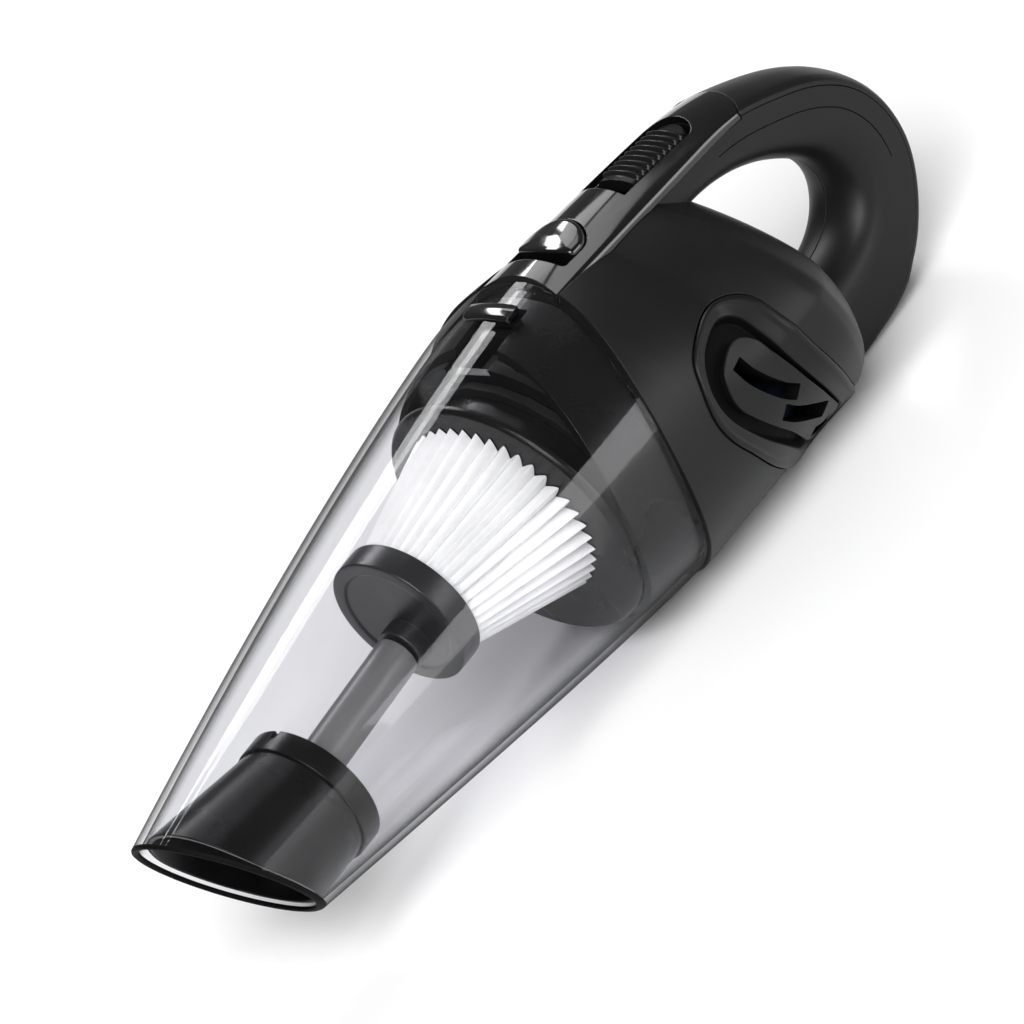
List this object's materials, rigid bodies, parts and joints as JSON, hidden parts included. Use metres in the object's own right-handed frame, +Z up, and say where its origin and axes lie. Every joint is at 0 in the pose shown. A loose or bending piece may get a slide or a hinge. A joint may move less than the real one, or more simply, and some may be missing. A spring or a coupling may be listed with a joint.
{
  "type": "handheld vacuum cleaner",
  "caption": "Cordless handheld vacuum cleaner with a clear tapered dust cup, a pleated cone filter, a round motor body with side vents and a loop handle.",
  "frame": {"origin": "middle of the underside of the whole object's bounding box, on the surface it lies on", "axes": "+X forward along the dust cup to the nozzle, +Y to the user's left, +Z up from the flat underside"},
  "size_m": [0.3666, 0.1142, 0.1107],
  "materials": {
    "clear_cup": "clear, lightly smoked, polished",
    "gloss_black": "polished black",
    "duct_black": "satin black",
    "rubber_black": "soft matt black",
    "filter_paper": "white pleated filter paper",
    "smoke_grey": "dark translucent grey",
    "body_black": "fine grained satin black",
    "inner_grey": "plain moulded grey",
    "steel": "bare steel",
    "cell_wrap": "dark shrink wrap",
    "board_green": "green lacquer"
  },
  "bodies": {
    "motor_body": {"housing_left": "body_black", "housing_right": "body_black", "front_collar": "duct_black", "spine_cover": "gloss_black", "handle_band": "body_black", "switch_unit": "inner_grey", "release_spring": "steel", "latch_guide": "inner_grey", "vent_grille_left": "body_black", "vent_grille_right": "body_black", "intake_guard": "inner_grey", "fan_shroud": "inner_grey", "motor_can": "steel", "motor_bracket": "inner_grey", "battery_cell_1": "cell_wrap", "battery_cell_2": "cell_wrap", "battery_cell_3": "cell_wrap", "battery_bracket_front": "inner_grey", "battery_bracket_rear": "inner_grey", "circuit_board": "board_green", "charge_port": "rubber_black", "screw_1": "steel", "screw_2": "steel", "screw_3": "steel", "screw_4": "steel"},
    "cup": {"dust_cup": "clear_cup", "cup_catch": "gloss_black", "inlet_duct": "duct_black", "duct_collar": "rubber_black"},
    "filter": {"filter_base": "duct_black", "filter_seal": "rubber_black", "filter_pleats": "filter_paper", "filter_core": "duct_black", "filter_cap": "duct_black", "filter_stem": "smoke_grey"},
    "rotor": {"fan_impeller": "inner_grey", "motor_shaft": "steel"},
    "switch": {"power_switch": "body_black"},
    "button": {"release_button": "gloss_black"}
  },
  "joints": [
    {"name": "cup_slide", "type": "slide", "parent": "motor_body", "child": "cup", "axis": [1, 0, 0], "range_m": [0, 0.22]},
    {"name": "filter_slide", "type": "slide", "parent": "motor_body", "child": "filter", "axis": [1, 0, 0], "range_m": [0, 0.1]},
    {"name": "rotor_spin", "type": "hinge", "parent": "motor_body", "child": "rotor", "pos_m": [0, 0, 0.0546], "axis": [1, 0, 0], "continuous": true},
    {"name": "switch_slide", "type": "slide", "parent": "motor_body", "child": "switch", "axis": [0.9909, 0, 0.1348], "range_m": [0, 0.006]},
    {"name": "button_press", "type": "slide", "parent": "motor_body", "child": "button", "axis": [0, 0, -1], "range_m": [0, 0.003], "stiffness_N_per_m": 800, "springref_m": -0.001, "deforming": ["release_spring"]}
  ],
  "couplings": [
    {"joint": "filter_slide", "follows": "cup_slide", "ratio": 0.45}
  ]
}
